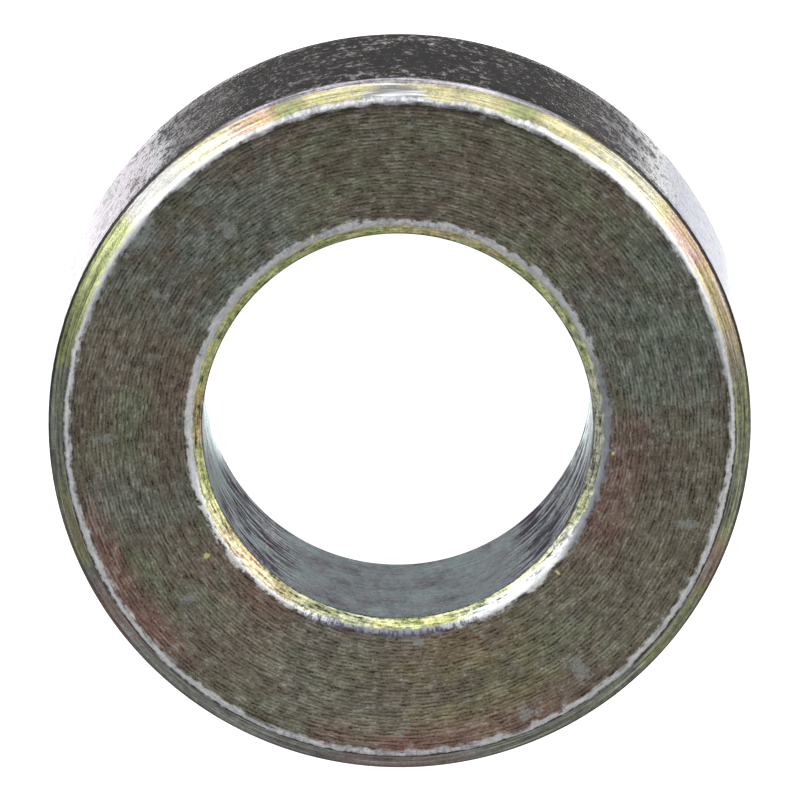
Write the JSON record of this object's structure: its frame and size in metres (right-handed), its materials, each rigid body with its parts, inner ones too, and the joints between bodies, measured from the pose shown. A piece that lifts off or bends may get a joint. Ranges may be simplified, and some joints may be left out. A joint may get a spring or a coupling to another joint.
{
  "type": "spacer ring",
  "caption": "Thick plain steel ring with chamfered rims, slipped over a bolt or pin to hold parts a set distance apart.",
  "frame": {"origin": "centre of the outside circle at the lower end face", "axes": "+Z along the ring, from the lower end face to the upper one; the bore's axis is parallel to it, 0.1 mm towards -X"},
  "size_m": [0.036, 0.036, 0.015],
  "materials": {
    "yellow_zinc": "turned steel, zinc plated and yellow passivated, olive and gold with pale worn edges"
  },
  "bodies": {
    "root": {"spacer_ring": "yellow_zinc"}
  },
  "joints": []
}
